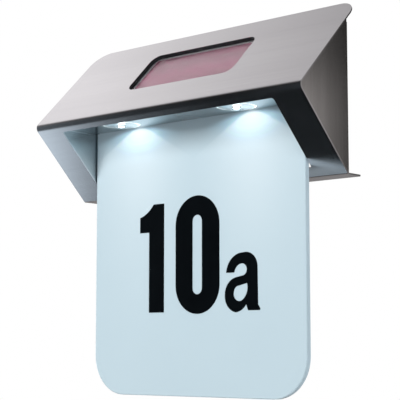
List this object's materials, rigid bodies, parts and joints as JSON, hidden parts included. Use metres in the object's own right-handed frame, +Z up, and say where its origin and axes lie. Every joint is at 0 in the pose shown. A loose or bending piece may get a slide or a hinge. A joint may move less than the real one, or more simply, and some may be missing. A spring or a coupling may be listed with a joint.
{
  "type": "illuminated house number sign",
  "caption": "Wall lamp with a folded steel roof, solar cell and small lamps that shine down on a hanging number panel.",
  "frame": {"origin": "midpoint between the two wall screw holes, on the wall plate's rear face", "axes": "+Y into the wall, +Z up, +X to the right as seen from in front"},
  "size_m": [0.2, 0.053, 0.2136],
  "materials": {
    "hood_steel": "brushed along the roof",
    "cheek_steel": "brushed",
    "box_steel": "brushed along the roof",
    "opal_acrylic": "satin white, polished front",
    "black_film": "satin black film",
    "clamp_steel": "plain sheet",
    "fastener_steel": "bright",
    "lens_plastic": "clear, slightly frosted",
    "reflector_chrome": "bright",
    "diode_plastic": "clear, lit white",
    "board_laminate": "green solder mask",
    "gasket_rubber": "black foam",
    "pane_glass": "clear",
    "cell_silicon": "dark violet, fine lines",
    "backing_plastic": "white sheet",
    "spacer_nylon": "natural",
    "chip_resin": "black",
    "coil_ferrite": "dark grey",
    "capacitor_sleeve": "dark blue sleeve",
    "rail_steel": "plain sheet",
    "plate_steel": "plain sheet",
    "case_plastic": "fine grain",
    "door_plastic": "fine grain",
    "pin_steel": "bright",
    "battery_sleeve": "plain green sleeve",
    "contact_nickel": "nickel plated",
    "switch_plastic": "black",
    "slider_plastic": "white",
    "lead_insulation": "red and black"
  },
  "bodies": {
    "wall_plate": {"wall_plate": "plate_steel"},
    "lamp": {"roof_cover": "hood_steel", "cheek_left": "cheek_steel", "cheek_right": "cheek_steel", "light_box": "box_steel", "house_panel": "opal_acrylic", "digit_one": "black_film", "digit_zero": "black_film", "letter_a": "black_film", "panel_clamps": "clamp_steel", "panel_screws": "fastener_steel", "panel_nuts": "fastener_steel", "lens_left": "lens_plastic", "lens_right": "lens_plastic", "reflector_left": "reflector_chrome", "reflector_right": "reflector_chrome", "reflector_nuts": "fastener_steel", "led_left": "diode_plastic", "led_right": "diode_plastic", "led_board_left": "board_laminate", "led_board_right": "board_laminate", "window_gasket": "gasket_rubber", "solar_pane": "pane_glass", "solar_cell": "cell_silicon", "solar_backing": "backing_plastic", "circuit_board": "board_laminate", "board_spacers": "spacer_nylon", "board_nuts": "fastener_steel", "controller_chip": "chip_resin", "choke_coil": "coil_ferrite", "capacitor": "capacitor_sleeve", "hang_rail": "rail_steel", "battery_case": "case_plastic", "case_screws": "fastener_steel", "case_nuts": "fastener_steel", "hinge_pin": "pin_steel", "battery": "battery_sleeve", "contact_plate": "contact_nickel", "battery_spring": "contact_nickel", "switch_body": "switch_plastic", "solar_leads": "lead_insulation", "led_leads_left": "lead_insulation", "led_leads_right": "lead_insulation", "battery_leads": "lead_insulation", "switch_leads": "lead_insulation"},
    "battery_door": {"battery_door": "door_plastic"},
    "switch_slider": {"switch_slider": "slider_plastic"}
  },
  "joints": [
    {"name": "lamp_lift", "type": "slide", "parent": "wall_plate", "child": "lamp", "axis": [0, 0, 1], "range_m": [0, 0.009]},
    {"name": "battery_door_hinge", "type": "hinge", "parent": "lamp", "child": "battery_door", "pos_m": [0, -0.01665, -0.02285], "axis": [-1, 0, 0], "range_deg": [0, 90]},
    {"name": "switch_slide", "type": "slide", "parent": "lamp", "child": "switch_slider", "axis": [1, 0, 0], "range_m": [0, 0.002]}
  ]
}
